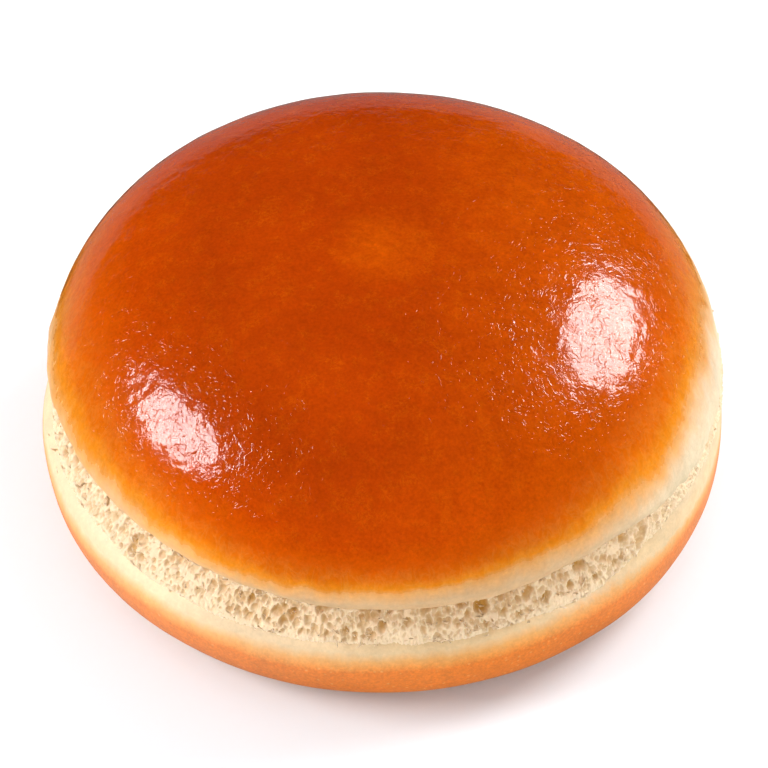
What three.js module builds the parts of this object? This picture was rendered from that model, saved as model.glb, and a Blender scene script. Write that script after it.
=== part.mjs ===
// Glazed burger bun: one solid of bread, baked side by side with others and torn free, so that an open
// break runs round its waist. A domed crown, with a lip that curls under, sits on a lower heel with a
// flat baked foot. The break is open at the front and along -X. It closes at +X and round the back.
//
// Millimetres, +Z up. The origin is the centre of the foot, and the front faces -Y.
// An azimuth runs from 0 at the front, positive towards +X.

import * as THREE from 'three';

// Whole bun
const ACROSS = 105;
const HEIGHT = 49.2;

// Heel: a flat foot, a rounded corner and the widest line of the bun
const FOOT_RADIUS = 40;
const SHOULDER_HEIGHT = 11;
const HEEL_FULLNESS = 2.2;

// Shoulder: the part of a quarter ellipse from the widest line in to the torn edge
const SHOULDER_TURN = 0.4 * Math.PI;

// Crown: a superellipse dome, a little off the heel's middle
const CROWN_RADIUS = 52;
const CROWN_BASE = 14.5;
const CROWN_FULLNESS = 2.6;
const CROWN_SHIFT = 0.3;

// Lip: where the crown's wall curls under, above the break. It hangs lowest at the front.
const LIP_HEIGHT = 23.7;
const LIP_WAVE = 0.8;
const LIP_WAVES = 3;
const LIP_TUCK = 1.3;
const SHUT_TUCK_SHARE = 0.35;
const LIP_ROUND = 2.2;

// Break: torn crumb between the heel's torn edge and the lip
const TORN_EDGE_RADIUS = 50.5;
const TORN_EDGE_HEIGHT = 15.6;
const TORN_EDGE_WAVE = 0.45;
const SLOW_WAVE = { count: 5, phase: 0.6, share: 0.6 };
const QUICK_WAVE = { count: 13, phase: 2.1, share: 0.4 };
const BREAK_DEPTH = 3.4;
const DEEPEST_UNDER_LIP = 1.4;

// Seam: what is left of the break where the two skins stay joined
const SEAM_HEIGHT = 22.2;
const SEAM_RISE = 1.4;
const SEAM_GAP = 1.5;
const SEAM_DEPTH = 0.9;
const SEAM_RIM_SHARE = 0.5;

// Where the break is open, in degrees of azimuth
const RIGHT_END = { open: 36, shut: 62 };
const LEFT_END = { open: -138, shut: -170 };
const BACK = 180;

// Facets
const SECTORS = 96;
const FOOT_RINGS = 3;
const HEEL_RINGS = 8;
const SHOULDER_RINGS = 3;
const BREAK_RINGS = 7;
const LIP_RINGS = 5;
const CROWN_RINGS = 17;

const HALF_TURN = Math.PI;
const QUARTER_TURN = Math.PI / 2;

function smoothStep(from, to, value) {
  const t = THREE.MathUtils.clamp((value - from) / (to - from), 0, 1);
  return t * t * (3 - 2 * t);
}

function mix(a, b, share) {
  return a + (b - a) * share;
}

// 1 where the break gapes, 0 where it has closed to a seam.
function openness(azimuth) {
  const degrees = THREE.MathUtils.radToDeg(azimuth);
  const right = 1 - smoothStep(RIGHT_END.open, RIGHT_END.shut, degrees);
  const left = smoothStep(LEFT_END.shut, LEFT_END.open, degrees);
  return right * left;
}

// The seam climbs slowly from the end of the break towards the back.
function seamHeight(azimuth) {
  const back = smoothStep(RIGHT_END.shut, BACK, Math.abs(THREE.MathUtils.radToDeg(azimuth)));
  return SEAM_HEIGHT + SEAM_RISE * back;
}

function openLipHeight(azimuth) {
  return LIP_HEIGHT - LIP_WAVE * Math.cos(LIP_WAVES * azimuth);
}

// The torn edge isn't level: bread parts along its own cells.
function tornWave(azimuth) {
  const shares = [SLOW_WAVE, QUICK_WAVE].map(
    ({ count, phase, share }) => share * Math.sin(count * azimuth + phase),
  );
  return TORN_EDGE_WAVE * (shares[0] + shares[1]);
}

function heelRadius(height) {
  const drop = 1 - height / SHOULDER_HEIGHT;
  const share = (1 - drop ** HEEL_FULLNESS) ** (1 / HEEL_FULLNESS);
  return mix(FOOT_RADIUS, ACROSS / 2, share);
}

function crownRadius(height) {
  const rise = Math.max(height - CROWN_BASE, 0) / (HEIGHT - CROWN_BASE);
  return CROWN_RADIUS * (1 - rise ** CROWN_FULLNESS) ** (1 / CROWN_FULLNESS);
}

function footSection() {
  const points = [];
  for (let ring = 1; ring <= FOOT_RINGS; ring += 1) {
    points.push([FOOT_RADIUS * ring / FOOT_RINGS, 0]);
  }
  return points;
}

function heelSection() {
  const points = [];
  for (let ring = 1; ring <= HEEL_RINGS; ring += 1) {
    const height = SHOULDER_HEIGHT * (1 - Math.cos(QUARTER_TURN * ring / HEEL_RINGS));
    points.push([heelRadius(height), height]);
  }
  return points;
}

// From the widest line in to the torn edge.
function shoulderSection(edge) {
  const points = [];
  for (let ring = 1; ring <= SHOULDER_RINGS; ring += 1) {
    const turn = SHOULDER_TURN * ring / SHOULDER_RINGS;
    const inward = (1 - Math.cos(turn)) / (1 - Math.cos(SHOULDER_TURN));
    const upward = Math.sin(turn) / Math.sin(SHOULDER_TURN);
    points.push([mix(ACROSS / 2, edge.radius, inward), mix(SHOULDER_HEIGHT, edge.height, upward)]);
  }
  return points;
}

// Torn crumb: a hollow that is deepest under the lip.
function breakSection(edge, lip, depth) {
  const points = [];
  for (let ring = 1; ring < BREAK_RINGS; ring += 1) {
    const share = ring / BREAK_RINGS;
    const hollow = depth * Math.sin(HALF_TURN * share ** DEEPEST_UNDER_LIP);
    points.push([mix(edge.radius, lip.inner, share) - hollow, mix(edge.height, lip.height, share)]);
  }
  return points;
}

// The lip: a half round from its tucked-in underside out to the crown's wall.
function lipSection(lip) {
  const points = [];
  const wallHeight = lip.height + LIP_ROUND;
  for (let ring = 0; ring < LIP_RINGS; ring += 1) {
    const turn = QUARTER_TURN * ring / LIP_RINGS;
    const radius = mix(lip.inner, crownRadius(wallHeight), Math.sin(turn));
    points.push([radius, wallHeight - LIP_ROUND * Math.cos(turn)]);
  }
  return points;
}

function crownSection(lip) {
  const points = [];
  const wallHeight = lip.height + LIP_ROUND;
  const start = Math.asin(((wallHeight - CROWN_BASE) / (HEIGHT - CROWN_BASE)) ** (CROWN_FULLNESS / 2));
  for (let ring = 0; ring < CROWN_RINGS; ring += 1) {
    const turn = mix(start, QUARTER_TURN, ring / CROWN_RINGS);
    const height = mix(CROWN_BASE, HEIGHT, Math.sin(turn) ** (2 / CROWN_FULLNESS));
    points.push([crownRadius(height), height]);
  }
  return points;
}

// One section of the bun, from the rim of the first foot ring up to the last ring below the top.
function section(azimuth) {
  const open = openness(azimuth);
  const seam = seamHeight(azimuth);
  const lipHeight = mix(seam, openLipHeight(azimuth), open);
  const wall = crownRadius(lipHeight + LIP_ROUND);
  const lip = { height: lipHeight, inner: wall - LIP_TUCK * mix(SHUT_TUCK_SHARE, 1, open) };
  const edge = {
    radius: mix(wall - SEAM_DEPTH * SEAM_RIM_SHARE, TORN_EDGE_RADIUS, open),
    height: mix(seam - SEAM_GAP, TORN_EDGE_HEIGHT + tornWave(azimuth), open),
  };
  const depth = mix(SEAM_DEPTH, BREAK_DEPTH, open);
  return {
    heel: [...footSection(), ...heelSection(), ...shoulderSection(edge)],
    crown: [...breakSection(edge, lip, depth), ...lipSection(lip), ...crownSection(lip)],
  };
}

// Rings joined into one closed skin: a fan at the foot, quads between the rings, a fan at the top.
function bunGeometry() {
  const positions = [0, 0, 0];
  let rings = 0;
  for (let sector = 0; sector < SECTORS; sector += 1) {
    const azimuth = HALF_TURN * (2 * sector / SECTORS - 1);
    const { heel, crown } = section(azimuth);
    const outline = [...heel, ...crown];
    rings = outline.length;
    outline.forEach(([radius, height], ring) => {
      const shift = ring < heel.length ? 0 : CROWN_SHIFT;
      positions.push(shift + radius * Math.sin(azimuth), -radius * Math.cos(azimuth), height);
    });
  }
  const top = positions.length / 3;
  positions.push(CROWN_SHIFT, 0, HEIGHT);

  const faces = [];
  const at = (sector, ring) => 1 + (sector % SECTORS) * rings + ring;
  for (let sector = 0; sector < SECTORS; sector += 1) {
    faces.push(0, at(sector + 1, 0), at(sector, 0));
    for (let ring = 0; ring < rings - 1; ring += 1) {
      const corner = [at(sector, ring), at(sector + 1, ring), at(sector + 1, ring + 1), at(sector, ring + 1)];
      faces.push(corner[0], corner[1], corner[2]);
      faces.push(corner[0], corner[2], corner[3]);
    }
    faces.push(at(sector, rings - 1), at(sector + 1, rings - 1), top);
  }

  const geometry = new THREE.BufferGeometry();
  geometry.setAttribute('position', new THREE.Float32BufferAttribute(positions, 3));
  geometry.setIndex(faces);
  geometry.computeVertexNormals();
  return geometry;
}

function bakedCrust() {
  return new THREE.MeshStandardMaterial({ color: '#c8641e', roughness: 0.3, metalness: 0 });
}

const bun = new THREE.Mesh(bunGeometry(), bakedCrust());
bun.name = 'bun';

const group = new THREE.Group();
group.name = 'burger_bun';
group.add(bun);

export default group;
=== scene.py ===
"""Glazed burger bun: a domed, egg-glazed crown on a baked heel, with an open torn break round its waist.

Millimetres are used for the sizes that a baker would name, and MM turns them into the scene's metres.
An azimuth runs from 0 at the front of the bun, which faces -Y, and is positive towards +X.
"""

import math

import bpy
from mathutils import Color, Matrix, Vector


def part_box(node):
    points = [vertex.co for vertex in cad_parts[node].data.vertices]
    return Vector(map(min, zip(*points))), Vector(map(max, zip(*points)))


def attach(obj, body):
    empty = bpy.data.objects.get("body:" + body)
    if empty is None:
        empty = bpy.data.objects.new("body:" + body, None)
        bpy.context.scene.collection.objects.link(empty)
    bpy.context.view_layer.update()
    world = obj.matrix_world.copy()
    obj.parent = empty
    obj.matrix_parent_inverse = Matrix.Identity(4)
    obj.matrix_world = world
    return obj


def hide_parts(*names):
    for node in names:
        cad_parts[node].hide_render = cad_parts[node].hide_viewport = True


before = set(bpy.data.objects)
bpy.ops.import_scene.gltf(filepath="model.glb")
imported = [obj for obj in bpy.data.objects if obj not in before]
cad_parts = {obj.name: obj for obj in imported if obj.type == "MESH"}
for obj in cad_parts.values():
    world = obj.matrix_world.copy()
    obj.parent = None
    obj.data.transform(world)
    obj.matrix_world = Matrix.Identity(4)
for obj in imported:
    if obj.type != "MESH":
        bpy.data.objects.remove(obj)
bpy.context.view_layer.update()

bl_info = {
    "name": "Glazed Burger Bun",
    "version": (1, 0, 0),
    "blender": (4, 5, 0),
    "location": "View3D > Sidebar > Bun",
    "description": "Bakes a glazed burger bun round its fixed frame, with crust, torn crumb and shreds",
    "category": "Add Mesh",
}

MM = 0.001
BODY = "root"
NODE = "bun"
FOOT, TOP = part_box(NODE)
WELD = 0.004 * MM


# Settings


def length(name, description, millimetres):
    return bpy.props.FloatProperty(
        name=name, description=description, default=millimetres * MM, unit="LENGTH", subtype="DISTANCE"
    )


def angle(name, description, degrees):
    return bpy.props.FloatProperty(
        name=name, description=description, default=math.radians(degrees), unit="ROTATION", subtype="ANGLE"
    )


def amount(name, description, default):
    return bpy.props.FloatProperty(name=name, description=description, default=default)


def count(name, description, default):
    return bpy.props.IntProperty(name=name, description=description, default=default, min=1)


def linear(code):
    """A screen colour such as "E8A050" as linear light."""
    parts = [int(code[at : at + 2], 16) / 255 for at in (0, 2, 4)]
    return Color(parts).from_srgb_to_scene_linear()


def shade(name, description, code):
    return bpy.props.FloatVectorProperty(
        name=name,
        description=description,
        default=(*linear(code), 1.0),
        size=4,
        min=0.0,
        max=1.0,
        subtype="COLOR",
    )


class BunShape(bpy.types.PropertyGroup):
    """Sizes of the loaf itself, as the frame has them."""

    across: length("Across", "Widest line of the heel", (TOP.x - FOOT.x) / MM)
    height: length("Height", "Foot to the top of the crown", TOP.z / MM)
    foot_radius: length("Foot Radius", "Flat baked foot", 40)
    shoulder_height: length("Shoulder Height", "Height of the widest line", 11)
    heel_fullness: amount("Heel Fullness", "Superellipse power of the heel's corner", 2.2)
    crown_radius: length("Crown Radius", "Radius of the dome at its base", 52)
    crown_base: length("Crown Base", "Height at which the dome's ellipse starts", 14.5)
    crown_fullness: amount("Crown Fullness", "Superellipse power of the dome", 2.6)
    crown_shift: length("Crown Shift", "How far the crown sits off the heel's middle", 0.3)
    lip_height: length("Lip Height", "Underside of the crown's lip", 23.7)
    lip_wave: length("Lip Wave", "How much the lip rises and falls", 0.8)
    lip_tuck: length("Lip Tuck", "How far the lip curls in under the wall", 1.3)
    lip_round: length("Lip Round", "Height of the lip's rounding", 2.2)
    torn_radius: length("Torn Edge Radius", "Radius of the heel's torn edge", 50.5)
    torn_height: length("Torn Edge Height", "Height of the heel's torn edge", 15.6)
    torn_wave: length("Torn Edge Wave", "How uneven the torn edge is", 0.45)
    break_depth: length("Break Depth", "How far the crumb lies behind its edges", 3.4)
    seam_height: length("Seam Height", "Where the closed skins meet", 22.2)
    seam_rise: length("Seam Rise", "How far the seam climbs towards the back", 1.4)
    seam_gap: length("Seam Gap", "Height of the closed seam", 1.5)
    seam_depth: length("Seam Depth", "Depth of the closed seam", 0.9)
    right_open: angle("Right Open", "Azimuth where the break starts to close on the right", 36)
    right_shut: angle("Right Shut", "Azimuth where it has closed on the right", 62)
    left_open: angle("Left Open", "Azimuth where the break starts to close on the left", -138)
    left_shut: angle("Left Shut", "Azimuth where it has closed on the left", -170)


class CrustRelief(bpy.types.PropertyGroup):
    """How fine the crust is, and how uneven."""

    sectors: count("Sectors", "Facets round the bun", 520)
    seed: amount("Seed", "Where the noise is read", 4.0)
    swell: length("Swell", "Height of the broad, soft unevenness", 0.35)
    swell_size: length("Swell Size", "Width of the broad unevenness", 24)
    dimple: length("Dimple", "Height of the dimples in the crown", 0.07)
    dimple_size: length("Dimple Size", "Width of a dimple", 5)
    wrinkle: length("Wrinkle", "Height of the glaze's wrinkles", 0.03)
    wrinkle_size: length("Wrinkle Size", "Width of a wrinkle", 1.6)
    face_clearance: length("Face Clearance", "How far the skin keeps behind the crumb", 1.0)
    torn_skin: length("Torn Skin", "Height of the torn skin where the break runs out", 0.5)
    torn_skin_size: length("Torn Skin Size", "Width of the torn skin's lumps", 2.2)
    lip_notch: length("Lip Notch", "How uneven the lip's edge is", 0.45)
    lip_notch_size: length("Lip Notch Size", "Width of the lip's unevenness", 7)


class CrumbRelief(bpy.types.PropertyGroup):
    """How open and how rough the torn crumb is."""

    steps: count("Steps", "Facets along one arc of the break", 1200)
    rows: count("Rows", "Facets across the torn face", 76)
    seed: length("Seed", "Where the pores are read", 0.0)
    start: angle("Start", "Azimuth where the arc starts", -180)
    end: angle("End", "Azimuth where the arc ends", 180)
    thickness: length("Thickness", "How far the crumb reaches in behind its face", 3)
    stand: length("Stand", "How far the crumb stands out of the hollow", 1.9)
    bite: length("Bite", "How far the crumb runs in behind the lip", 1.1)
    tuck: length("Tuck", "How far the crumb's edges are tucked into the skin", 0.3)
    ridge: length("Ridge", "How proud the crumb stands over the closed seam", 0.85)
    scar_below: length("Scar Below", "How far the crumb covers the skin under the closed seam", 1.6)
    scar_above: length("Scar Above", "How far the crumb covers the skin over the closed seam", 1.4)
    overhang: length("Overhang", "How far the crumb runs down behind the torn edge", 1.6)
    ragged: length("Ragged", "How unevenly the crumb shows over the torn edge", 0.4)
    large_pore: length("Large Pore", "Spacing of the large pores", 2.4)
    small_pore: length("Small Pore", "Spacing of the small pores", 1.25)
    fine_pore: length("Fine Pore", "Spacing of the finest pores", 0.65)
    cluster: length("Cluster", "Width of the patches of close crumb", 6)
    pore_stretch: amount("Pore Stretch", "How much taller than wide a pore is", 1.25)
    closed_depth: amount("Closed Depth", "Share of the pores' depth left in the closed seam", 0.22)
    grain: length("Grain", "Height of the roughness between pores", 0.16)
    strand: length("Strand", "Height of the pulled strands low in the break", 0.14)


class ShredSettings(bpy.types.PropertyGroup):
    """The torn bits of skin and crumb that stand along the edges of the break."""

    edge_shreds: count("Edge Shreds", "Flakes along the torn edge", 420)
    seam_shreds: count("Seam Shreds", "Fibres across the closed seam", 300)
    face_shreds: count("Face Shreds", "Strands that stand out of the crumb", 700)
    seed: count("Seed", "Order of the random draws", 7)
    flake: length("Flake", "Length of a flake before it is scaled", 1.4)
    fibre: length("Fibre", "Length of a fibre before it is scaled", 1.3)
    curl: length("Curl", "How far a bit is bent", 0.25)
    crumple: length("Crumple", "How far a bit is crumpled", 0.7)


class CrustLook(bpy.types.PropertyGroup):
    """Where the crust browns, and its colours from pale skin to deep glaze."""

    crown_border: length("Crown Border", "Height at which the crown starts to brown", 24.8)
    crown_tilt: length("Crown Tilt", "How much higher the browning starts at +X", 1.8)
    crown_reach: length("Crown Reach", "Distance from the axis at which a side counts in full", 50)
    side_spread: amount("Side Spread", "How much more slowly the crown browns at both sides", 2.3)
    heel_border: length("Heel Border", "Height at which the heel's browning ends", 14.9)
    heel_tilt: length("Heel Tilt", "How much higher the heel's browning ends at +X", 1.1)
    skin: shade("Skin", "Unbaked pale skin under the crown", "CEA778")
    heel_skin: shade("Heel Skin", "Unbaked pale skin over the heel", "DCBB8A")
    straw: shade("Straw", "First colour of the pale skin", "E1A054")
    gold: shade("Gold", "Golden rim of the browning", "DE8216")
    amber: shade("Amber", "Amber above the gold", "D16406")
    toffee: shade("Toffee", "Glazed crust over the amber", "C75001")
    chestnut: shade("Chestnut", "Glazed brown of the wall", "BA4101")
    mahogany: shade("Mahogany", "Deepest glazed brown", "A83702")
    # Painted light: a lighter glaze painted at the very top and towards +X.
    bronze: shade("Bronze", "Lighter glaze at the very top and towards +X", "C85402")
    pale_side: shade("Pale Side", "Paler skin of the side at +X", "D3BD96")
    heel_gold: shade("Heel Gold", "Golden rim of the heel", "E4923A")
    heel: shade("Heel", "Baked heel", "DE7716")
    heel_brown: shade("Heel Brown", "Baked heel near the foot", "D87112")
    foot: shade("Foot", "Baked underside", "BE7434")
    crumb_light: shade("Crumb Light", "Torn rims of the crumb", "EED3AE")
    # Painted shade: the darker colour painted into the pores, standing in for the shade inside them.
    crumb_deep: shade("Crumb Deep", "Inside of the pores", "BC8A40")


class StageSettings(bpy.types.PropertyGroup):
    """Soft studio light, a pale floor and the camera."""

    elevation: angle("Elevation", "Camera above the horizon", 45.735)
    distance: length("Distance", "Camera to the point that it turns about", 450)
    pivot_height: length("Pivot Height", "Height of the point on the axis that the camera turns about", 22)
    aim_across: length("Aim Across", "Where the camera looks, along X", 0.337)
    aim_depth: length("Aim Depth", "Where the camera looks, along Y", -2.69)
    aim_height: length("Aim Height", "Where the camera looks, above the floor", 19.38)
    lens: amount("Lens", "Focal length in millimetres on a sensor 36 mm wide", 138.15)
    box_distance: length("Box Distance", "Softbox to the middle of the bun", 900)
    box_width: angle("Box Width", "How wide a softbox is as the bun sees it", 30)
    box_height: angle("Box Height", "How tall a softbox is as the bun sees it", 25)
    card_width: angle("Card Width", "How wide the card behind the bun is", 120)
    card_height: angle("Card Height", "How tall the card behind the bun is", 34)
    card_elevation: angle("Card Elevation", "How high the card's middle stands", -16)
    card_radiance: amount("Card Radiance", "Brightness of the card that the crown's far rim reflects", 0.22)
    left_azimuth: angle("Left Azimuth", "Where the left softbox stands", -82)
    left_elevation: angle("Left Elevation", "How high the left softbox stands", 32.5)
    right_azimuth: angle("Right Azimuth", "Where the right softbox stands", 118.5)
    right_elevation: angle("Right Elevation", "How high the right softbox stands", 38)
    box_radiance: amount("Box Radiance", "Brightness of the softboxes", 9.0)
    glint_radiance: amount("Glint Radiance", "Extra brightness that only the glaze reflects", 125.0)
    front_fill: amount("Front Fill", "Brightness of the room low down in front", 1.35)
    back_fill: amount("Back Fill", "Brightness of the room low down behind", 1.0)
    top_fill: amount("Top Fill", "Brightness of the room overhead", 0.6)
    floor: shade("Floor", "Pale floor", "F2F8FE")


# Node trees written as sums


class Term:
    """A number from a node. Python's operators on it add Math nodes."""

    def __init__(self, web, socket):
        self.web = web
        self.socket = socket

    def maths(self, operation, *values):
        made = self.web.node("ShaderNodeMath", {"operation": operation}, dict(enumerate(values)))
        return Term(self.web, made.outputs[0])

    def __add__(self, other):
        return self.maths("ADD", self, other)

    def __radd__(self, other):
        return self.maths("ADD", other, self)

    def __sub__(self, other):
        return self.maths("SUBTRACT", self, other)

    def __rsub__(self, other):
        return self.maths("SUBTRACT", other, self)

    def __mul__(self, other):
        return self.maths("MULTIPLY", self, other)

    def __rmul__(self, other):
        return self.maths("MULTIPLY", other, self)

    def __truediv__(self, other):
        return self.maths("DIVIDE", self, other)

    def __rtruediv__(self, other):
        return self.maths("DIVIDE", other, self)

    def __pow__(self, other):
        return self.maths("POWER", self, other)

    def __neg__(self):
        return self.maths("MULTIPLY", self, -1.0)

    def sin(self):
        return self.maths("SINE", self)

    def cos(self):
        return self.maths("COSINE", self)

    def arcsine(self):
        return self.maths("ARCSINE", self)

    def abs(self):
        return self.maths("ABSOLUTE", self)

    def root(self):
        return self.maths("SQRT", self)

    def least(self, other):
        return self.maths("MINIMUM", self, other)

    def most(self, other):
        return self.maths("MAXIMUM", self, other)

    def limit(self):
        """The number kept between 0 and 1."""
        return self.most(0.0).least(1.0)


class Web:
    """A node tree that is being written."""

    def __init__(self, tree):
        self.tree = tree

    def node(self, kind, settings=None, inputs=None):
        """One node of any kind: its settings are set first, and then its sockets, by name or by number."""
        made = self.tree.nodes.new(kind)
        for name, value in (settings or {}).items():
            if name == "stops":
                self.fill_ramp(made.color_ramp, value)
            else:
                setattr(made, name, value)
        for name, value in (inputs or {}).items():
            self.feed(made.inputs[name], value)
        return made

    def feed(self, socket, value):
        if isinstance(value, Term):
            value = value.socket
        if isinstance(value, bpy.types.NodeSocket):
            self.tree.links.new(value, socket)
        else:
            socket.default_value = value

    @staticmethod
    def fill_ramp(ramp, stops):
        while len(ramp.elements) < len(stops):
            ramp.elements.new(1.0)
        for element, (place, colour) in zip(ramp.elements, stops):
            element.position = place
            element.color = colour

    def term(self, made, output=0):
        return Term(self, made.outputs[output])

    def number(self, value):
        """A plain number as a term, for a method that works on terms."""
        made = self.node("ShaderNodeValue")
        made.outputs[0].default_value = value
        return self.term(made)

    def mix(self, start, end, share):
        """start at 0 and end at 1."""
        return start + (end - start) * share

    def ease(self, start, end, value):
        """0 before start and 1 after end, with a smooth step between."""
        made = self.node(
            "ShaderNodeMapRange",
            {"interpolation_type": "SMOOTHSTEP"},
            {"Value": value, "From Min": start, "From Max": end},
        )
        return self.term(made)

    def vector(self, x=0.0, y=0.0, z=0.0):
        return self.node("ShaderNodeCombineXYZ", None, {0: x, 1: y, 2: z}).outputs[0]

    def parts(self, vector):
        made = self.node("ShaderNodeSeparateXYZ", None, {0: vector})
        return [self.term(made, axis) for axis in range(3)]

    def vectors(self, operation, first, second=None, scale=None):
        inputs = {0: first}
        if second is not None:
            inputs[1] = second
        if scale is not None:
            inputs["Scale"] = scale
        return self.node("ShaderNodeVectorMath", {"operation": operation}, inputs).outputs[0]

    def scaled(self, vector, scale):
        return self.vectors("SCALE", vector, scale=scale)

    def noise(self, vector, size, detail=2.0, roughness=0.5, distortion=0.0):
        """Soft noise about 0, from -1 to 1. size is the width of its lumps in the vector's own unit."""
        inputs = {
            "Vector": vector,
            "Scale": 1.0 / size,
            "Detail": detail,
            "Roughness": roughness,
            "Distortion": distortion,
        }
        return self.term(self.node("ShaderNodeTexNoise", None, inputs)) * 2.0 - 1.0

    def cells(self, vector, size):
        """Cells about size apart: how far a cell's middle is, in cells, and the cell's own random number."""
        made = self.node("ShaderNodeTexVoronoi", None, {"Vector": vector, "Scale": 1.0 / size})
        return self.term(made, "Distance"), self.parts(made.outputs["Color"])[0]

    def drift(self, vector, size, detail=2.0):
        """A random shift about nothing, of half a unit at most, that varies smoothly over that size."""
        inputs = {"Vector": self.scaled(vector, 1.0 / size), "Scale": 1.0, "Detail": detail}
        made = self.node("ShaderNodeTexNoise", None, inputs)
        return self.vectors("SUBTRACT", made.outputs["Color"], self.vector(0.5, 0.5, 0.5))

    def blend(self, first, second, share):
        """Two colours mixed. A Mix node numbers its colours 6 and 7, and the mixed one 2."""
        made = self.node("ShaderNodeMix", {"data_type": "RGBA"}, {0: share, 6: first, 7: second})
        return made.outputs[2]


class Builder(Web):
    """A Geometry Nodes tree whose inputs are the properties of one or more groups of settings."""

    def __init__(self, name, *settings):
        super().__init__(bpy.data.node_groups.new(name, "GeometryNodeTree"))
        self.values = {}
        self.tree.interface.new_socket("Geometry", in_out="OUTPUT", socket_type="NodeSocketGeometry")
        for group in settings:
            self.take(group)
        made = self.tree.nodes.new("NodeGroupInput")
        self.inputs = {name: Term(self, made.outputs[name]) for name in self.values}

    def take(self, group):
        for name in group.__annotations__:
            rna = group.bl_rna.properties[name]
            kind = "NodeSocketInt" if rna.type == "INT" else "NodeSocketFloat"
            socket = self.tree.interface.new_socket(name, in_out="INPUT", socket_type=kind)
            socket.description = rna.description
            self.values[name] = (socket.identifier, getattr(group, name))

    def __getattr__(self, name):
        try:
            return self.__dict__["inputs"][name]
        except KeyError:
            raise AttributeError(name) from None

    def place(self, azimuth, radius, height, shift=0.0):
        """The point at an azimuth, a radius from the axis and a height."""
        return self.vector(radius * azimuth.sin() + shift, -(radius * azimuth.cos()), height)

    def output(self, kind, inputs=None):
        """The first output of a node that needs no settings."""
        return self.node(kind, None, inputs).outputs[0]

    def position(self):
        return self.output("GeometryNodeInputPosition")

    def normal(self):
        return self.output("GeometryNodeInputNormal")

    def grid(self, columns, rows):
        """A unit grid, with the share of the way along it and across it."""
        sizes = {"Size X": 1.0, "Size Y": 1.0, "Vertices X": columns, "Vertices Y": rows}
        x, y, _ = self.parts(self.position())
        return self.output("GeometryNodeMeshGrid", sizes), x + 0.5, y + 0.5

    def placed(self, geometry, position):
        return self.output("GeometryNodeSetPosition", {"Geometry": geometry, "Position": position})

    def shifted(self, geometry, offset):
        return self.output("GeometryNodeSetPosition", {"Geometry": geometry, "Offset": offset})

    def joined(self, pieces):
        made = self.node("GeometryNodeJoinGeometry")
        for piece in pieces:
            self.tree.links.new(piece, made.inputs[0])
        return made.outputs[0]

    def welded(self, geometry):
        return self.output("GeometryNodeMergeByDistance", {"Geometry": geometry, "Distance": WELD})

    def named(self, geometry, name, value):
        """The geometry with a value stored on its points, for a material to read."""
        inputs = {"Geometry": geometry, "Name": name, "Value": value}
        return self.output("GeometryNodeStoreNamedAttribute", inputs)

    def real(self, geometry):
        return self.output("GeometryNodeRealizeInstances", {"Geometry": geometry})

    def finished(self, geometry, material):
        """Ends the tree: instances made real, smooth faces and the material."""
        smooth = self.output("GeometryNodeSetShadeSmooth", {"Geometry": self.real(geometry)})
        made = self.output("GeometryNodeSetMaterial", {"Geometry": smooth, "Material": material})
        out = self.tree.nodes.new("NodeGroupOutput")
        self.tree.links.new(made, out.inputs[0])


def baked(name, builder, material):
    """Runs a finished tree once, and keeps what it makes as a plain mesh object."""
    seed = bpy.data.objects.new(name + "_tree", bpy.data.meshes.new(name + "_tree"))
    bpy.context.collection.objects.link(seed)
    modifier = seed.modifiers.new(name, "NODES")
    modifier.node_group = builder.tree
    for identifier, value in builder.values.values():
        modifier[identifier] = value
    bpy.context.view_layer.update()
    graph = bpy.context.evaluated_depsgraph_get()
    mesh = bpy.data.meshes.new_from_object(seed.evaluated_get(graph), depsgraph=graph)
    bpy.data.objects.remove(seed)
    if not mesh.polygons:
        raise RuntimeError(f"{name} came out empty")
    mesh.name = name
    mesh.materials.clear()
    mesh.materials.append(material)
    piece = bpy.data.objects.new(name, mesh)
    bpy.context.collection.objects.link(piece)
    return piece


# The bun's outline

LIP_WAVES = 3.0
SHUT_TUCK_SHARE = 0.35
SEAM_RIM_SHARE = 0.5
DEEPEST_UNDER_LIP = 1.4
SHOULDER_TURN = 0.4 * math.pi

# The torn edge's slow and quick waves: how many run round the bun, their phase and their share.
TORN_WAVES = ((5.0, 0.6, 0.6), (13.0, 2.1, 0.4))


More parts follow.
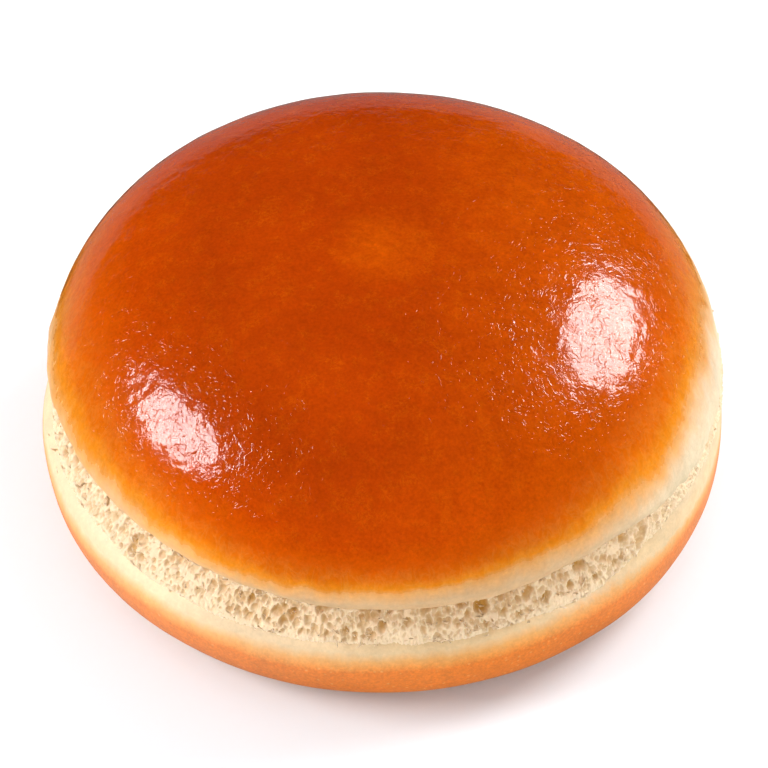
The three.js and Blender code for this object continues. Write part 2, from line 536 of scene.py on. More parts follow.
class Outline(Builder):
    """A tree that knows the bun's section at any azimuth."""

    def openness(self, azimuth):
        """1 where the break gapes, and 0 where it has closed to a seam."""
        right = 1.0 - self.ease(self.right_open, self.right_shut, azimuth)
        left = self.ease(self.left_shut, self.left_open, azimuth)
        return right * left

    def lip_and_edge(self, azimuth):
        """Heights and radii of the crown's lip and of the heel's torn edge, and how deep the break is."""
        opened = self.openness(azimuth)
        back = self.ease(self.right_shut, math.pi, azimuth.abs())
        seam = self.seam_height + self.seam_rise * back
        hanging = self.lip_height - self.lip_wave * (azimuth * LIP_WAVES).cos()
        lip = self.mix(seam, hanging, opened)
        wall = self.crown_wall(lip + self.lip_round)
        slow, quick = [(azimuth * waves + phase).sin() * share for waves, phase, share in TORN_WAVES]
        torn = self.torn_height + self.torn_wave * (slow + quick)
        return {
            "open": opened,
            "lip": lip,
            "wall": wall,
            "inner": wall - self.lip_tuck * self.mix(SHUT_TUCK_SHARE, 1.0, opened),
            "edge": self.mix(seam - self.seam_gap, torn, opened),
            "rim": self.mix(wall - self.seam_depth * SEAM_RIM_SHARE, self.torn_radius, opened),
            "depth": self.mix(self.seam_depth, self.break_depth, opened),
        }

    def superellipse(self, share, fullness):
        """How far out a rounded side stands, for the share of the way up it."""
        return (1.0 - share**fullness).most(0.0) ** (1.0 / fullness)

    def crown_wall(self, height):
        rise = (height - self.crown_base).most(0.0) / (self.height - self.crown_base)
        return self.crown_radius * self.superellipse(rise, self.crown_fullness)

    def hollow(self, share, line):
        """A point of the torn face, from the heel's edge up to the lip."""
        sunk = line["depth"] * ((share**DEEPEST_UNDER_LIP) * math.pi).sin()
        return self.mix(line["rim"], line["inner"], share) - sunk, self.mix(line["edge"], line["lip"], share)


# Crust

# Heights where each unevenness of the skin comes in and goes out, and the azimuth where the torn skin ends.
STANDING_FROM = (0.5 * MM, 6 * MM)
CROWN_FROM = (26 * MM, 30 * MM)
LIP_FROM = (20 * MM, 23.5 * MM)
LIP_TO = (26 * MM, 28.5 * MM)
TORN_FROM = (15 * MM, 17 * MM)
TORN_TO = (24 * MM, 27 * MM)
TORN_ROUND_TO = (1.3, 1.7)
WRINKLE_TWIST = 0.6
TORN_SKIN_ROUGHNESS = 0.6


class CrustTree(Outline):
    """The whole skin of the bun, as bands of rings welded into one closed mesh."""

    BANDS = (("foot", 12), ("corner", 17), ("shoulder", 22), ("face", 15), ("lip_curl", 11), ("dome", 108))

    def foot(self, share, line):
        return self.foot_radius * share, 0.0

    def corner(self, share, line):
        height = self.shoulder_height * (1.0 - (share * (math.pi / 2)).cos())
        drop = (1.0 - height / self.shoulder_height).most(0.0)
        bulge = self.superellipse(drop, self.heel_fullness)
        return self.mix(self.foot_radius, self.across * 0.5, bulge), height

    def shoulder(self, share, line):
        turn = share * SHOULDER_TURN
        inward = (1.0 - turn.cos()) / (1.0 - math.cos(SHOULDER_TURN))
        upward = turn.sin() / math.sin(SHOULDER_TURN)
        radius = self.mix(self.across * 0.5, line["rim"], inward)
        return radius, self.mix(self.shoulder_height, line["edge"], upward)

    def face(self, share, line):
        radius, height = self.hollow(share, line)
        return radius - self.face_clearance * (share * math.pi).sin(), height

    def lip_curl(self, share, line):
        turn = share * (math.pi / 2)
        radius = self.mix(line["inner"], line["wall"], turn.sin())
        return radius, line["lip"] + self.lip_round * (1.0 - turn.cos())

    def dome(self, share, line):
        foot = (line["lip"] + self.lip_round - self.crown_base) / (self.height - self.crown_base)
        start = (foot ** (self.crown_fullness * 0.5)).arcsine()
        turn = self.mix(start, math.pi / 2, share)
        height = self.mix(self.crown_base, self.height, turn.sin() ** (2.0 / self.crown_fullness))
        across = turn.cos().most(0.0) ** (2.0 / self.crown_fullness)
        return self.crown_radius * across, height

    def band(self, name, rings):
        grid, along, share = self.grid(self.sectors + 1, rings)
        azimuth = (along - 0.5) * (2 * math.pi)
        radius, height = getattr(self, name)(share, self.lip_and_edge(azimuth))
        shares = {"face": share, "lip_curl": 1.0, "dome": 1.0}
        shift = self.crown_shift * shares.get(name, 0.0)
        return self.placed(grid, self.place(azimuth, radius, height, shift))

    def uneven(self, geometry):
        """Broad swells, a dimpled and wrinkled crown, a notched lip, and torn skin where the break ends."""
        place = self.vectors("ADD", self.position(), self.vector(0.0, 0.0, self.seed))
        x, y, height = self.parts(self.position())
        azimuth = x.maths("ARCTAN2", x, -y)
        crowned = self.ease(*CROWN_FROM, height)
        lipped = self.ease(*LIP_FROM, height) * (1.0 - self.ease(*LIP_TO, height))
        closing = self.ease(self.right_open, self.right_shut, azimuth)
        ends = closing * (1.0 - self.ease(*TORN_ROUND_TO, azimuth))
        torn = ends * self.ease(*TORN_FROM, height) * (1.0 - self.ease(*TORN_TO, height))
        lift = 0.0
        for rise, size, where, pattern in (
            (self.swell, self.swell_size, self.ease(*STANDING_FROM, height), (1.0,)),
            (self.dimple, self.dimple_size, crowned, (1.0,)),
            (self.wrinkle, self.wrinkle_size, crowned, (1.0, 0.5, WRINKLE_TWIST)),
            (self.lip_notch, self.lip_notch_size, lipped, (1.0,)),
            (self.torn_skin, self.torn_skin_size, torn, (3.0, TORN_SKIN_ROUGHNESS)),
        ):
            lift = lift + rise * self.noise(self.scaled(place, 1.0 / size), 1.0, *pattern) * where
        return self.shifted(geometry, self.scaled(self.normal(), lift))


def crust_piece(shape, relief, look):
    material = crust_material(look)
    tree = CrustTree("Bun Crust", shape, relief)
    whole = tree.welded(tree.joined([tree.band(name, rings) for name, rings in tree.BANDS]))
    tree.finished(tree.uneven(whole), material)
    return baked("bun_crust", tree, material)


# Crumb

# Patterns of the crumb: width of the lumps in millimetres, then detail, roughness and distortion.
FINE_GRAIN = (0.7, 4.0, 0.65)
KNOTS = (0.9, 2.0, 0.6, 1.0)
UPRIGHT_STRANDS = (0.7, 2.0)
LYING_STRANDS = (0.8, 3.0)
TATTERS = (3.2, 2.0)

# Pores: their spacing, their least and greatest radius in cells, their depth in radii, and from which share
# of the torn face's height they are found.
PORES = (
    ("large_pore", 0.05, 0.58, 0.7, 0.26),
    ("small_pore", 0.3, 0.68, 0.85, 0.08),
    ("fine_pore", 0.35, 0.7, 0.8, 0.04),
)
SMALLEST_PORE = 0.001
# The crumb's painted shade in the pores is darkest from this depth on.
DARKEST_PORE = 0.72 * MM

# They grow to their full size from a little below that share to a little above it, and are bent out of
# shape by this part of a small pore's spacing.
PORES_COME_IN = (-0.12, 0.2)
PORE_BEND = 0.8
PORE_BEND_DETAIL = 3.0

# Patches of close crumb: over which noise the crumb is loose instead, how much looser it is higher up, and
# how small the pores of a close patch stay.
LOOSE_CRUMB = (-0.95, -0.15)
LOOSER_UPWARDS = 0.5
CLOSE_PORE_SHARE = 0.5

# How sharply the face turns in at its low and high edge, and how full it is between them.
LOW_TURN = 6.0
HIGH_TURN = 5.0
FACE_FULLNESS = 1.35
SCAR_FULLNESS = 0.7

# Over the closed seam: its knots in heights of the grain, and its tatters and strands in those of the break.
KNOT_SHARE = 2.4
SEAM_TATTERS = 0.6
SEAM_STRANDS = 1.5

# How the strands are pulled out, how thin they are, and up to where they reach.
UPRIGHT_STRETCH = 0.22
LYING_STRETCH = (0.5, 0.5, 1.3)
STRAND_SHARPNESS = 3.0
STRANDS_TO = (0.2, 0.6)
TATTERS_TO = (0.05, 0.35)

# The relief fades out at both edges of the face.
RELIEF_FROM = (0.0, 0.06)
RELIEF_TO = (0.95, 1.0)


class CrumbTree(Outline):
    """An arc of torn crumb, closed all round: a face full of pores, and a back that is buried in the bun."""

    BACK_ROWS = 4

    def strip(self, rows):
        """A grid along the arc, with its azimuths, its shares across and the break's edges."""
        grid, along, share = self.grid(self.steps + 1, rows + 1)
        azimuth = self.mix(self.start, self.end, along)
        return grid, along, share, azimuth, self.lip_and_edge(azimuth)

    def skin_point(self, share, line):
        """The crumb's face before it has pores, in the open break and over the closed seam."""
        hollow, level = self.hollow(share, line)
        arch = (share * math.pi).sin().most(0.0)
        low = (1.0 - share) ** LOW_TURN
        high = share**HIGH_TURN
        gaping = hollow + self.stand * arch**FACE_FULLNESS - self.bite * high + self.tuck * low
        reach = level - self.overhang * low + self.bite * high
        scar = self.mix(line["rim"], line["wall"], share) + self.ridge * arch**SCAR_FULLNESS - self.tuck
        spread = self.mix(line["edge"] - self.scar_below, line["lip"] + self.scar_above, share)
        return self.mix(scar, gaping, line["open"]), self.mix(spread, reach, line["open"])

    def pinched(self, along, radius, height, line):
        """Draws each end of the arc to one buried point, so that the arc is closed."""
        ends = (along * self.steps).least((1.0 - along) * self.steps).limit()
        middle = self.mix(line["rim"], line["inner"], 0.5) - self.thickness
        level = self.mix(line["edge"], line["lip"], 0.5)
        return self.mix(middle, radius, ends), self.mix(level, height, ends)

    def pores(self, place, share, line):
        """How deep the crumb is hollowed at a place: wide pores under the lip, and finer ones lower down."""
        x, y, z = self.parts(place)
        tall = self.vector(x, y, z / self.pore_stretch + self.seed)
        bend = self.small_pore * PORE_BEND
        tall = self.vectors("ADD", tall, self.scaled(self.drift(tall, bend, PORE_BEND_DETAIL), bend))
        patch = self.noise(self.scaled(place, 1.0 / self.cluster), 1.0, 1.0)
        loose = self.ease(*LOOSE_CRUMB, patch + (share - 0.5) * LOOSER_UPWARDS)
        size = self.mix(CLOSE_PORE_SHARE, 1.0, loose)
        deep = self.number(0.0)
        for name, narrow, wide, depth, from_share in PORES:
            spacing = self.inputs[name]
            distance, chance = self.cells(self.scaled(tall, 1.0 / spacing), 1.0)
            start, end = (from_share + step for step in PORES_COME_IN)
            grown = self.ease(start, end, share)
            reach = self.mix(narrow, wide, chance) * grown * size + SMALLEST_PORE
            cup = (1.0 - (distance / reach) ** 2.0).most(0.0).root()
            deep = deep.most(cup * reach * spacing * depth)
        return deep * self.mix(self.closed_depth, 1.0, line["open"])

    def relief(self, place, share, line):
        """Grain, knots, strands and tatters: how far they stand out of the crumb at a place."""
        place = self.scaled(place, 1.0 / MM)
        x, y, z = self.parts(place)
        fine = self.noise(place, *FINE_GRAIN)
        knotted = fine + self.noise(place, *KNOTS) * KNOT_SHARE
        upright = 1.0 - self.noise(self.vector(x, y, z * UPRIGHT_STRETCH), *UPRIGHT_STRANDS).abs()
        lying = [part * stretch for part, stretch in zip((x, y, z), LYING_STRETCH)]
        lying = 1.0 - self.noise(self.vector(*lying), *LYING_STRANDS).abs()
        standing = upright * (1.0 - self.ease(*STRANDS_TO, share))
        low = 1.0 - self.ease(*TATTERS_TO, share)
        tatters = self.ragged * self.noise(place, *TATTERS) * low * self.mix(SEAM_TATTERS, 1.0, line["open"])
        strands = self.strand * self.mix(lying * SEAM_STRANDS, standing, line["open"]) ** STRAND_SHARPNESS
        return self.grain * self.mix(knotted, fine, line["open"]) + strands + tatters

    def face(self):
        grid, along, share, azimuth, line = self.strip(self.rows)
        radius, height = self.skin_point(share, line)
        place = self.place(azimuth, radius, height)
        shown = self.ease(*RELIEF_FROM, share) * (1.0 - self.ease(*RELIEF_TO, share))
        deep = self.pores(place, share, line)
        out = self.relief(place, share, line) - deep
        # Each pore's depth is stored for the painted shade that the crumb's material lays into the pores.
        grid = self.named(grid, "pore", deep / DARKEST_PORE)
        radius, height = self.pinched(along, radius + out * shown, height, line)
        return self.placed(grid, self.place(azimuth, radius, height))

    def back(self):
        """From the face's top edge round behind it to its bottom edge."""
        grid, along, share, azimuth, line = self.strip(self.BACK_ROWS)
        low_radius, low_height = self.skin_point(self.number(0.0), line)
        top_radius, top_height = self.skin_point(self.number(1.0), line)
        inward = self.thickness * (share * math.pi).sin()
        radius = self.mix(top_radius, low_radius, share) - inward
        height = self.mix(top_height, low_height, share)
        radius, height = self.pinched(along, radius, height, line)
        return self.placed(grid, self.place(azimuth, radius, height))


# The arcs overlap a little, so that no joint shows: name, first and last azimuth in degrees, and facets.
CRUMB_ARCS = (
    ("crumb_front", -52, 64, 1200),
    ("crumb_left", -170, -51.4, 1200),
    ("crumb_seam", 63.4, 190.6, 900),
)


def crumb_pieces(shape, relief, look):
    material = crumb_material(look)
    made = []
    for name, start, end, steps in CRUMB_ARCS:
        relief.start = math.radians(start)
        relief.end = math.radians(end)
        relief.steps = steps
        tree = CrumbTree(name, shape, relief)
        tree.finished(tree.welded(tree.joined([tree.face(), tree.back()])), material)
        made.append(baked(name, tree, material))
    return made


# Shreds

# A bit of bread has three dozen faces. How far it is crumpled changes over this width.
BIT_FACETS = 6
CRUMPLE_SIZE = 0.5 * MM

# Salts of the draws that each kind of shred makes the same way.
NOD_SALT = 11
ROLL_SALT = 12
SIZE_SALT = 13

# Flakes of pale skin along the heel's torn edge, fibres and skins that bridge the closed seam, and thin
# strands that stand out of the torn crumb. half_sizes are shares of the length, azimuth is in degrees, share
# runs up the torn face, stand is millimetres out of it, and nod and roll are in radians.
SHREDS = (
    {
        "name": "edge_shreds",
        "length": "flake",
        "half_sizes": (0.5, 0.05, 0.12),
        "scale": (0.25, 0.9),
        "azimuth": (-165, 64),
        "share": (-0.04, 0.2),
        "stand": (0.0, 0.4),
        "nod": (-0.9, 0.2),
        "roll": (-0.7, 0.7),
        "salts": (1, 2, 3),
    },
    {
        "name": "seam_shreds",
        "length": "fibre",
        "half_sizes": (0.2, 0.1, 0.4),
        "scale": (0.3, 1.2),
        "azimuth": (44, 190),
        "share": (-0.3, 1.2),
        "stand": (0.5, 1.0),
        "nod": (-0.5, 0.5),
        "roll": (-0.7, 1.3),
        "salts": (4, 5, 6),
    },
    {
        "name": "face_shreds",
        "length": "fibre",
        "half_sizes": (0.08, 0.07, 0.55),
        "scale": (0.35, 1.1),
        "azimuth": (-165, 46),
        "share": (0.1, 0.85),
        "stand": (0.9, 2.0),
        "nod": (-0.6, 1.0),
        "roll": (-1.2, 1.2),
        "salts": (7, 8, 9),
    },
)


class ShredTree(Outline):
    """Small torn bits, scattered along the break and turned to lie on it."""

    def chance(self, limits, salt, unit=1.0):
        """A number between two limits, drawn for each point. Each salt gives its own draw."""
        low, high = (limit * unit for limit in limits)
        index = self.output("GeometryNodeInputIndex")
        inputs = {"Min": low, "Max": high, "ID": index, "Seed": self.seed + salt}
        return self.term(self.node("FunctionNodeRandomValue", {"data_type": "FLOAT"}, inputs), 1)

    def bit(self, along, out, up):
        """One closed bit with those half sizes, bent back towards its ends."""
        facets = {"Segments": BIT_FACETS, "Rings": BIT_FACETS, "Radius": 1.0}
        ball = self.output("GeometryNodeMeshUVSphere", facets)
        x, y, z = self.parts(self.position())
        return self.placed(ball, self.vector(x * along, y * out + (x * x + z * z) * self.curl, z * up))

    def scattered(self, kind):
        """Bits of one kind along the break."""
        points = self.output("GeometryNodeMeshLine", {"Count": self.inputs[kind["name"]]})
        azimuth_salt, share_salt, stand_salt = kind["salts"]
        azimuth = self.chance(kind["azimuth"], azimuth_salt, math.radians(1.0))
        share = self.chance(kind["share"], share_salt)
        radius, height = self.hollow(share, self.lip_and_edge(azimuth))
        stand = self.chance(kind["stand"], stand_salt, MM)
        size = self.chance(kind["scale"], SIZE_SALT)
        turn = (self.chance(kind["nod"], NOD_SALT), self.chance(kind["roll"], ROLL_SALT), azimuth)
        whole = self.inputs[kind["length"]]
        copies = {
            "Points": self.placed(points, self.place(azimuth, radius + stand, height)),
            "Instance": self.bit(*(whole * half for half in kind["half_sizes"])),
            "Rotation": self.vector(*turn),
            "Scale": self.vector(size, size, size),
        }
        real = self.real(self.output("GeometryNodeInstanceOnPoints", copies))
        return self.shifted(real, self.scaled(self.drift(self.position(), CRUMPLE_SIZE), self.crumple))


def shred_piece(kind, shape, settings, material):
    tree = ShredTree(kind["name"], shape, settings)
    tree.finished(tree.scattered(kind), material)
    return baked(kind["name"], tree, material)


# Materials

# Patterns of the crust: width of the lumps in millimetres, then detail, roughness and distortion.
CLOUD = (24.0, 1.0)
BLOTCH = (11.0, 2.0)
FRECKLE = (5.0, 2.0)
STREAK = (2.2, 3.0, 0.6)
MOTTLE = (1.4, 3.0, 0.65)
SPECK = (0.45, 2.0, 0.6)
HAIR = (1.0, 2.0, 0.6, 1.5)
HAIR_PATCH = (2.6, 1.0)
VEIN = (1.6, 3.0, 0.6, 0.8)
FLECK_SPACING = 0.9

# The share of the height that counts in patterns drawn out upwards.
STREAK_STRETCH = 0.3
VEIN_STRETCH = 0.5

# Relief of the glaze and of the dull skin, in the same way.
BEAD = (0.5, 1.0, 0.5, 0.4)
FOLD = (1.5, 2.0, 0.5, 0.3)
PUCKER = (4.0, 1.0)
CREASE = (1.8, 2.0, 0.5, 0.9)
CREASE_PATCH = (3.0, 1.0)
LEATHER = (0.9, 3.0, 0.6)

# Heights of that relief, in millimetres. Only the peaks of the beads stand out, from this level up.
BEAD_HEIGHT = 0.09
BEAD_LEVEL = 0.24
FOLD_HEIGHT = 0.034
PUCKER_HEIGHT = 0.045
CREASE_HEIGHT = 0.024
LEATHER_HEIGHT = 0.035

# Over which noise the glaze rises again beside a crease, and over which it has creases at all.
CREASE_WIDTH = (0.0, 0.16)
CREASED = (-0.25, 0.3)

# The crust's colours, and how many millimetres into the browning each is reached.
CROWN_BANDS = (
    (-1.0, "skin"),
    (0.04, "skin"),
    (1.6, "straw"),
    (2.51, "gold"),
    (3.68, "amber"),
    (5.5, "toffee"),
    (8.36, "chestnut"),
    (15.12, "mahogany"),
)
HEEL_BANDS = (
    (-1.0, "heel_skin"),
    (0.12, "heel_skin"),
    (1.4, "straw"),
    (2.36, "heel_gold"),
    (3.48, "heel"),
    (7.8, "heel_brown"),
    (14.2, "foot"),
)

# How far the patterns push the two borders of the browning, in millimetres.
CROWN_BLOTCH = 0.8
CROWN_STREAK = 0.8
HEEL_BLOTCH = 0.7
HEEL_STREAK = 0.6
HEEL_MOTTLE = 1.2

# Where one look gives way to another: by height, by millimetres into the browning of the crown or the heel,
# by the share of the way out to +X, and by the noise of the hairs and the cells of the flecks.
CROWN_BY_HEIGHT = (17.0, 21.0)
BROWNED = (0.3, 3.0)
GLAZED = (3.5, 8.0)
HEEL_BAKED = (1.0, 3.0)
HEEL_MOTTLED = (0.3, 0.9)
PALE_BY_SIDE = (0.45, 0.95)
PALE_UP_TO = (-0.5, 1.5)
# Over this share of the way to +X the painted light of the side comes in.
PAINTED_LIGHT_BY_SIDE = (-0.1, 0.8)
VEINS_FROM = (0.5, 2.5)
VEINS_TO = (3.0, 7.0)
HAIRY = (-0.1, 0.35)
FLECK_RADIUS = (0.12, 0.34)
FLECK_CHANCE = (0.62, 0.9)

# The painted light patch at the top: how far in front of the middle, how ragged its edge, and where it
# fades.
PATCH_FORWARD = 4.0
PATCH_RAGGED = 5.0
PATCH_FADES = (1.0, 10.0)

# How strongly each look is laid over the colour, and how thin the hairs and veins are.
# The first five lay on the painted light of the top and of +X, and let cloud, mottle and freckles vary it.
TOP_PAINTED_LIGHT = 0.55
SIDE_PAINTED_LIGHT = 0.7
CLOUD_BRONZE = 0.15
BRONZE_MOTTLE = 0.5
BRONZE_FRECKLE = 0.5
HAIR_SHARPNESS = 14.0
HAIR_SHARE = 0.3
FLECK_SHARE = 0.5
VEIN_SHARPNESS = 9.0
VEIN_SHARE = 0.16

# How much each pattern lightens and darkens the crust, and the specks of all skin and of baked skin.
TONES = {"cloud": 0.16, "blotch": 0.07, "freckle": 0.08, "mottle": 0.16}
SPECK_TONE = 0.1
BAKED_SPECK_TONE = 0.2

# Roughness of the pale skin and of the glaze, and how much the specks change it.
DULL = 0.75
SHINY = 0.06
SPECK_ROUGHNESS = 0.02

# The crumb and its shreds: patterns of the colour and of the fine relief, with what they count for.
CRUMB_CLOUD = (1.6, 3.0, 0.6)
CRUMB_CLOUD_SHARE = 0.35
CRUMB_GRAIN = (0.35, 3.0, 0.65)
CRUMB_GRAIN_HEIGHT = 0.05
SHRED_CLOUD = (0.8, 2.0)
SHRED_CLOUD_SHARE = 0.5
SHRED_SKIN_SHARE = 0.3
SHRED_GRAIN = (0.3, 2.0)
SHRED_GRAIN_HEIGHT = 0.02


class Finish(Web):
    """A material that is being written, on Object coordinates in millimetres."""

    def __init__(self, name):
        self.material = bpy.data.materials.new(name)
        self.material.use_nodes = True
        super().__init__(self.material.node_tree)
        self.shader = self.tree.nodes["Principled BSDF"]
        made = self.node("ShaderNodeTexCoord")
        self.place = self.scaled(made.outputs["Object"], 1.0 / MM)
        self.x, self.y, self.z = self.parts(self.place)

    def surface(self, values):
        """Sets or links the shader's sockets, by name."""
        for name, value in values.items():
            self.feed(self.shader.inputs[name], value)

    def pattern(self, kind, stretch=None):
        """Noise of that kind on the bun, drawn out in height where it has a stretch."""
        place = self.vector(self.x, self.y, self.z * stretch) if stretch else self.place
        return self.noise(place, *kind)

    def line(self, kind, sharpness, stretch=None):
        """Fine lines that follow the noise of a kind."""
        return (1.0 - self.pattern(kind, stretch).abs()) ** sharpness

    def banded(self, value, bands, look):
        """One colour after another as a value grows."""
        first, last = bands[0][0], bands[-1][0]
        stops = [((start - first) / (last - first), getattr(look, name)) for start, name in bands]
        made = self.node("ShaderNodeValToRGB", {"stops": stops}, {0: (value - first) / (last - first)})
        return made.outputs[0]

    def bump(self, height):
        """height in millimetres."""
        made = self.node("ShaderNodeBump", None, {"Strength": 1.0, "Distance": MM, "Height": height})
        self.feed(self.shader.inputs["Normal"], made.outputs[0])

    def attribute(self, name):
        made = self.node("ShaderNodeAttribute", {"attribute_name": name})
        return Term(self, made.outputs["Fac"])


class CrustFinish(Finish):
    """The skin of the bun, from the foot and the pale skin of the break to the glaze on top."""

    def __init__(self, look):
        super().__init__("glazed_crust")
        self.look = look
        self.side = self.x / (look.crown_reach / MM)
        self.crowned = self.ease(*CROWN_BY_HEIGHT, self.z)
        self.cloud = self.pattern(CLOUD)
        self.blotch = self.pattern(BLOTCH)
        self.freckle = self.pattern(FRECKLE)
        self.mottle = self.pattern(MOTTLE)
        self.speck = self.pattern(SPECK)
        streak = self.pattern(STREAK, STREAK_STRETCH)

        border = look.crown_border / MM + self.side * (look.crown_tilt / MM)
        spread = 1.0 + self.side * self.side * look.side_spread
        self.above = (self.z - border) / spread + self.blotch * CROWN_BLOTCH + streak * CROWN_STREAK
        border = look.heel_border / MM + self.side * (look.heel_tilt / MM)
        below = border - self.z + self.blotch * HEEL_BLOTCH + streak * HEEL_STREAK
        self.below = below + self.mottle * self.ease(*HEEL_MOTTLED, self.side) * HEEL_MOTTLE
        self.glazed = self.ease(*GLAZED, self.above) * self.crowned

    def browning(self):
        """The crown's and the heel's colours, with the paler skin towards +X."""
        heel = self.banded(self.below, HEEL_BANDS, self.look)
        crown = self.banded(self.above, CROWN_BANDS, self.look)
        colour = self.blend(heel, crown, self.crowned)
        pale = self.ease(*PALE_BY_SIDE, self.side) * (1.0 - self.ease(*PALE_UP_TO, self.above))
        return self.blend(colour, self.look.pale_side, pale * self.crowned)

    def sunny(self, colour):
        """Painted light: a lighter glaze painted at the very top and towards +X."""
        depth = self.y + PATCH_FORWARD
        reach = (self.x * self.x + depth * depth).root() + self.blotch * PATCH_RAGGED
        top = (1.0 - self.ease(*PATCH_FADES, reach)) * TOP_PAINTED_LIGHT
        sides = self.ease(*PAINTED_LIGHT_BY_SIDE, self.side) * SIDE_PAINTED_LIGHT + self.cloud * CLOUD_BRONZE
        share = top.most(sides) * (1.0 + self.mottle * BRONZE_MOTTLE + self.freckle * BRONZE_FRECKLE)
        return self.blend(colour, self.look.bronze, (share * self.glazed).limit())

    def marked(self, colour):
        """Amber hairs in the glaze, pale flecks on the heel, and pale veins where the browning starts."""
        look = self.look
        hair = self.line(HAIR, HAIR_SHARPNESS) * self.ease(*HAIRY, self.pattern(HAIR_PATCH))
        colour = self.blend(colour, look.amber, hair * self.glazed * HAIR_SHARE)
        spot, chance = self.cells(self.place, FLECK_SPACING)
        fleck = (1.0 - self.ease(*FLECK_RADIUS, spot)) * self.ease(*FLECK_CHANCE, chance)
        colour = self.blend(colour, look.straw, fleck * self.heel_baked() * FLECK_SHARE)
        rim = self.ease(*VEINS_FROM, self.above) * (1.0 - self.ease(*VEINS_TO, self.above)) * self.crowned
        vein = self.line(VEIN, VEIN_SHARPNESS, VEIN_STRETCH)
        return self.blend(colour, look.straw, vein * rim * VEIN_SHARE)

    def heel_baked(self):
        return self.ease(*HEEL_BAKED, self.below) * (1.0 - self.crowned)

    def toned(self, colour):
        """Lighter and darker from place to place, most where the crust is baked."""
        tone = 1.0
        for name, share in TONES.items():
            tone = tone + getattr(self, name) * share
        speckled = self.glazed.most(self.heel_baked()) * BAKED_SPECK_TONE + SPECK_TONE
        return self.scaled(colour, tone + self.speck * speckled)

    def glaze(self):
        """Beads, folds, puckers and fine creases of the egg glaze, in millimetres."""
        bead = (self.pattern(BEAD) - BEAD_LEVEL).most(0.0)
        crease = self.ease(*CREASE_WIDTH, self.pattern(CREASE).abs())
        creased = self.ease(*CREASED, self.pattern(CREASE_PATCH))
        soft = self.pattern(FOLD) * FOLD_HEIGHT + self.pattern(PUCKER) * PUCKER_HEIGHT
        return bead * BEAD_HEIGHT + soft + crease * creased * CREASE_HEIGHT


def crust_material(look):
    web = CrustFinish(look)
    browned = web.ease(*BROWNED, web.above) * web.crowned
    web.bump(web.mix(web.pattern(LEATHER) * LEATHER_HEIGHT, web.glaze(), browned))
    web.surface(
        {
            "Base Color": web.toned(web.marked(web.sunny(web.browning()))),
            "Roughness": web.mix(DULL, SHINY, browned) + web.speck * SPECK_ROUGHNESS,
            "IOR": 1.5,
            "Subsurface Weight": 0.1,
            "Subsurface Radius": (1.0, 0.45, 0.2),
            "Subsurface Scale": 1.5 * MM,
        }
    )
    return web.material


def crumb_material(look):
    web = Finish("torn_crumb")
    # Painted shade: the crumb is painted darker the deeper a pore is, with a random cloud of tone laid over
    # it.
    pore_shade_and_tone = (web.attribute("pore") + web.pattern(CRUMB_CLOUD) * CRUMB_CLOUD_SHARE).limit()
    web.bump(web.pattern(CRUMB_GRAIN) * CRUMB_GRAIN_HEIGHT)
    web.surface(
        {
            "Base Color": web.blend(look.crumb_light, look.crumb_deep, pore_shade_and_tone),
            "Roughness": 0.7,
            "IOR": 1.4,
            "Specular IOR Level": 0.2,
            "Subsurface Weight": 0.25,
            "Subsurface Radius": (1.0, 0.6, 0.35),
            "Subsurface Scale": 0.8 * MM,
        }
    )
    return web.material


def shred_material(look):
    web = Finish("torn_shreds")
    skin = (web.pattern(SHRED_CLOUD) * SHRED_CLOUD_SHARE + SHRED_SKIN_SHARE).limit()
    web.bump(web.pattern(SHRED_GRAIN) * SHRED_GRAIN_HEIGHT)
    colour = web.blend(look.crumb_light, look.skin, skin)
    web.surface({"Base Color": colour, "Roughness": 0.35, "IOR": 1.4})
    return web.material


# Stage

SENSOR_WIDTH = 36.0
NEAREST_SEEN = 0.01
FLOOR_SIZE = 8.0

# The room's light changes from front to back and from its sides to its top over these parts of a unit
# vector, and is this much brighter towards +X.
FRONT_TO_BACK = (-0.7, 0.7)
SIDES_TO_TOP = (0.1, 0.85)
RIGHT_BRIGHTER = 0.25


def bearing(azimuth, elevation):
    """A unit vector from the bun towards a light or the camera, angles in radians."""
    flat = math.cos(elevation)
    return Vector((flat * math.sin(azimuth), -flat * math.cos(azimuth), math.sin(elevation)))


def facing(item, target):
    item.rotation_euler = (target - item.location).to_track_quat("-Z", "Y").to_euler()


def softbox(name, azimuth, elevation, stage, radiance, width=None, height=None):
    """An oval light that faces the bun. Its width and height are angles, as the bun sees it."""
    light = bpy.data.lights.new(name, "AREA")
    light.shape = "ELLIPSE"
    light.size = 2 * stage.box_distance * math.tan((width or stage.box_width) / 2)
    light.size_y = 2 * stage.box_distance * math.tan((height or stage.box_height) / 2)
    face = light.size * light.size_y * math.pi / 4
    light.energy = radiance * math.pi * face
    item = bpy.data.objects.new(name, light)
    bpy.context.collection.objects.link(item)
    middle = Vector((0, 0, TOP.z / 2))
    item.location = middle + stage.box_distance * bearing(azimuth, elevation)
    facing(item, middle)
    return item


def room(stage):
    world = bpy.data.worlds.new("soft_room")
    bpy.context.scene.world = world
    world.use_nodes = True
    web = Web(world.node_tree)
    background = world.node_tree.nodes["Background"]
    towards = web.node("ShaderNodeTexCoord").outputs["Generated"]
    across, behind, above = web.parts(towards)
    ring = web.mix(stage.front_fill, stage.back_fill, web.ease(*FRONT_TO_BACK, behind))
    ring = ring * (1.0 + across * RIGHT_BRIGHTER)
    web.feed(background.inputs["Color"], (1.0, 1.0, 1.0, 1.0))
    web.feed(background.inputs["Strength"], web.mix(ring, stage.top_fill, web.ease(*SIDES_TO_TOP, above)))
    world.cycles_visibility.glossy = False


def floor(stage):
    bpy.ops.mesh.primitive_plane_add(size=FLOOR_SIZE)
    plane = bpy.context.object
    plane.name = "pale_floor"
    finish = Finish("pale_floor")
    finish.surface({"Base Color": stage.floor, "Roughness": 0.9})
    plane.data.materials.append(finish.material)
    plane.visible_glossy = False


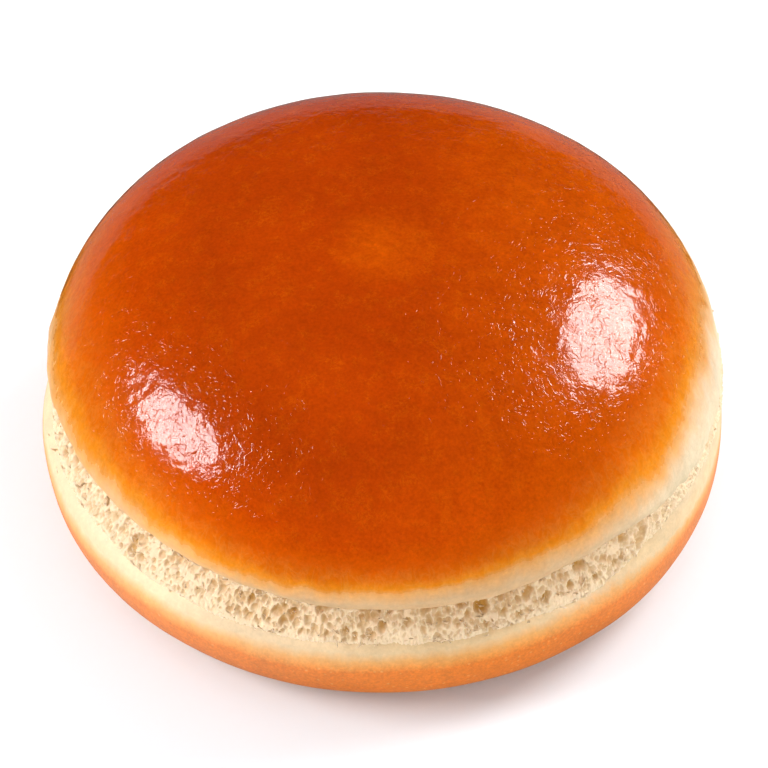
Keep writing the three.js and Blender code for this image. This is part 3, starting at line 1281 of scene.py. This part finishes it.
def studio_lights(stage):
    """Two softboxes, each with a glint that only the glaze reflects, and a dim card behind the bun."""
    for name, azimuth, elevation in (
        ("left", stage.left_azimuth, stage.left_elevation),
        ("right", stage.right_azimuth, stage.right_elevation),
    ):
        softbox(name + "_softbox", azimuth, elevation, stage, stage.box_radiance)
        glint = softbox(name + "_glint", azimuth, elevation, stage, stage.glint_radiance)
        glint.visible_diffuse = False
    card = softbox(
        "rim_card",
        math.pi,
        stage.card_elevation,
        stage,
        stage.card_radiance,
        stage.card_width,
        stage.card_height,
    )
    card.visible_diffuse = False


def camera(stage):
    data = bpy.data.cameras.new("camera")
    data.sensor_width = SENSOR_WIDTH
    data.lens = stage.lens
    data.clip_start = NEAREST_SEEN
    item = bpy.data.objects.new("camera", data)
    bpy.context.collection.objects.link(item)
    item.location = Vector((0, 0, stage.pivot_height)) + stage.distance * bearing(0.0, stage.elevation)
    facing(item, Vector((stage.aim_across, stage.aim_depth, stage.aim_height)))
    bpy.context.scene.camera = item


# Operators, panel and registration


def kept(piece):
    """Hands a finished piece of the bun over to its frame."""
    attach(piece, BODY)
    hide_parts(NODE)


class BakeCrust(bpy.types.Operator):
    """Bakes the closed skin of the bun, from its foot to its glazed crown"""

    bl_idname = "bun.bake_crust"
    bl_label = "Bake Crust"

    def execute(self, context):
        scene = context.scene
        kept(crust_piece(scene.bun_shape, scene.bun_crust, scene.bun_look))
        return {"FINISHED"}


class TearCrumb(bpy.types.Operator):
    """Tears the break open and fills it with porous crumb"""

    bl_idname = "bun.tear_crumb"
    bl_label = "Tear Crumb"

    def execute(self, context):
        scene = context.scene
        for piece in crumb_pieces(scene.bun_shape, scene.bun_crumb, scene.bun_look):
            kept(piece)
        return {"FINISHED"}


class ScatterShreds(bpy.types.Operator):
    """Scatters torn flakes, fibres and strands along the break"""

    bl_idname = "bun.scatter_shreds"
    bl_label = "Scatter Shreds"

    def execute(self, context):
        scene = context.scene
        material = shred_material(scene.bun_look)
        for kind in SHREDS:
            kept(shred_piece(kind, scene.bun_shape, scene.bun_shreds, material))
        return {"FINISHED"}


class LightStage(bpy.types.Operator):
    """Sets up the pale floor, the soft light and the camera"""

    bl_idname = "bun.light_stage"
    bl_label = "Light Stage"

    def execute(self, context):
        stage = context.scene.bun_stage
        room(stage)
        floor(stage)
        studio_lights(stage)
        camera(stage)
        context.scene.view_settings.view_transform = "Standard"
        return {"FINISHED"}


SETTINGS = {
    "bun_shape": BunShape,
    "bun_crust": CrustRelief,
    "bun_crumb": CrumbRelief,
    "bun_shreds": ShredSettings,
    "bun_look": CrustLook,
    "bun_stage": StageSettings,
}
OPERATORS = (BakeCrust, TearCrumb, ScatterShreds, LightStage)


class BunPanel(bpy.types.Panel):
    """The steps that make the bun, in order"""

    bl_idname = "VIEW3D_PT_glazed_burger_bun"
    bl_label = "Glazed Burger Bun"
    bl_space_type = "VIEW_3D"
    bl_region_type = "UI"
    bl_category = "Bun"

    def draw(self, context):
        for operator in OPERATORS:
            self.layout.operator(operator.bl_idname)


CLASSES = (*SETTINGS.values(), *OPERATORS, BunPanel)


def register():
    for kind in CLASSES:
        bpy.utils.register_class(kind)
    for name, kind in SETTINGS.items():
        setattr(bpy.types.Scene, name, bpy.props.PointerProperty(type=kind))


def unregister():
    for name in SETTINGS:
        delattr(bpy.types.Scene, name)
    for kind in reversed(CLASSES):
        bpy.utils.unregister_class(kind)


def main():
    register()
    bpy.ops.bun.bake_crust()
    bpy.ops.bun.tear_crumb()
    bpy.ops.bun.scatter_shreds()
    bpy.ops.bun.light_stage()


if __name__ == "__main__":
    main()
